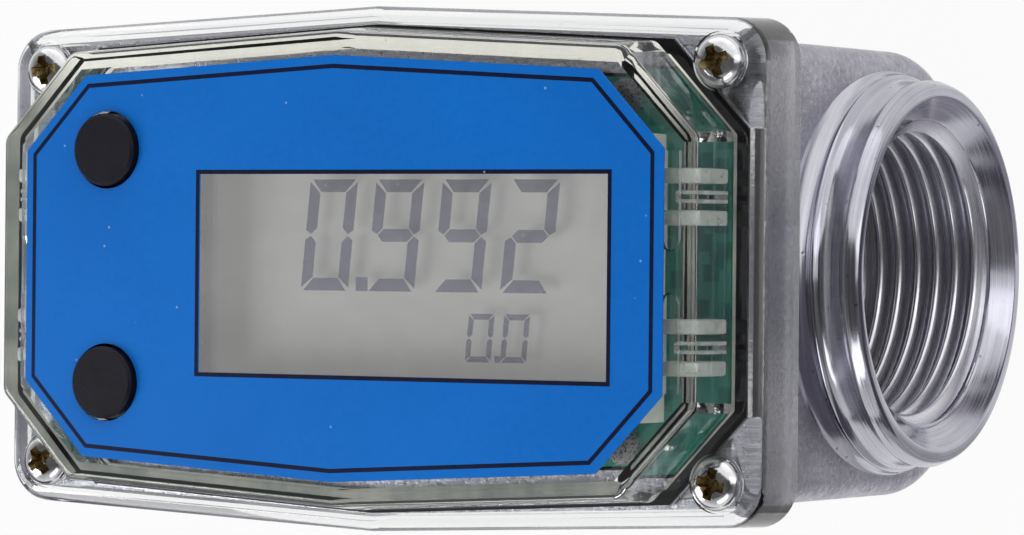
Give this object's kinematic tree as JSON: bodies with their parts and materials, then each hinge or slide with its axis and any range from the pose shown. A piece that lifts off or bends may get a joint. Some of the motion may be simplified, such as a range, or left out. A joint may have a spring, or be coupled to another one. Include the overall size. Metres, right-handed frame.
{
  "type": "turbine flow meter",
  "caption": "In-line turbine fuel flow meter with threaded ports, clear cover, digital display, push buttons and a spinning bladed rotor.",
  "frame": {"origin": "centre of the box's lower face: Z = 0 is the flat back of the casting, X = 0 and Y = 0 its middle", "axes": "+X along the flow from inlet to outlet, +Y up the display as it is read, +Z out of the display"},
  "size_m": [0.103, 0.0568, 0.0643],
  "materials": {
    "cast_aluminium": "die-cast satin, machined collars",
    "clear_polycarbonate": "clear moulded polycarbonate",
    "black_rubber": "matte",
    "screw_plating": "bright plated",
    "label_print": "printed face",
    "button_rubber": "satin",
    "display_glass": "liquid crystal cell",
    "display_backing": "grey reflector",
    "white_plastic": "moulded",
    "contact_rubber": "layered",
    "board_laminate": "solder mask",
    "black_plastic": "moulded",
    "bright_steel": "bright",
    "capacitor_sleeve": "shrink sleeve",
    "cell_jacket": "bare printed jacket",
    "copper_wire": "tinned copper",
    "acetal": "turned acetal",
    "bushing_bronze": "sintered",
    "rotor_plastic": "moulded"
  },
  "bodies": {
    "housing": {"meter_body": "cast_aluminium", "clear_cover": "clear_polycarbonate", "cover_gasket": "black_rubber", "cover_screws": "screw_plating", "face_label": "label_print", "push_switches": "black_plastic", "circuit_board": "board_laminate", "board_screws": "bright_steel", "display_glass": "display_glass", "display_reflector": "display_backing", "display_frame": "white_plastic", "contact_strips": "contact_rubber", "controller_chip": "black_plastic", "crystal": "bright_steel", "capacitors": "capacitor_sleeve", "batteries": "cell_jacket", "battery_tray": "black_plastic", "battery_contacts": "bright_steel", "pickup_sensor": "black_plastic", "sensor_leads": "copper_wire", "outlet_support": "acetal", "inlet_support": "acetal", "shaft_bushings": "bushing_bronze", "retaining_rings": "bright_steel"},
    "rotor": {"turbine_rotor": "rotor_plastic", "rotor_shaft": "bright_steel", "rotor_magnets": "bright_steel"},
    "upper_press": {"upper_button": "button_rubber", "upper_plunger": "white_plastic"},
    "lower_press": {"lower_button": "button_rubber", "lower_plunger": "white_plastic"}
  },
  "joints": [
    {"name": "rotor_spin", "type": "hinge", "parent": "housing", "child": "rotor", "pos_m": [0, 0, 0.022], "axis": [1, 0, 0], "continuous": true},
    {"name": "upper_button_press", "type": "slide", "parent": "housing", "child": "upper_press", "axis": [0, 0, -1], "range_m": [0, 0.0005], "stiffness_N_per_m": 400, "springref_m": -0.0005},
    {"name": "lower_button_press", "type": "slide", "parent": "housing", "child": "lower_press", "axis": [0, 0, -1], "range_m": [0, 0.0005], "stiffness_N_per_m": 400, "springref_m": -0.0005}
  ]
}
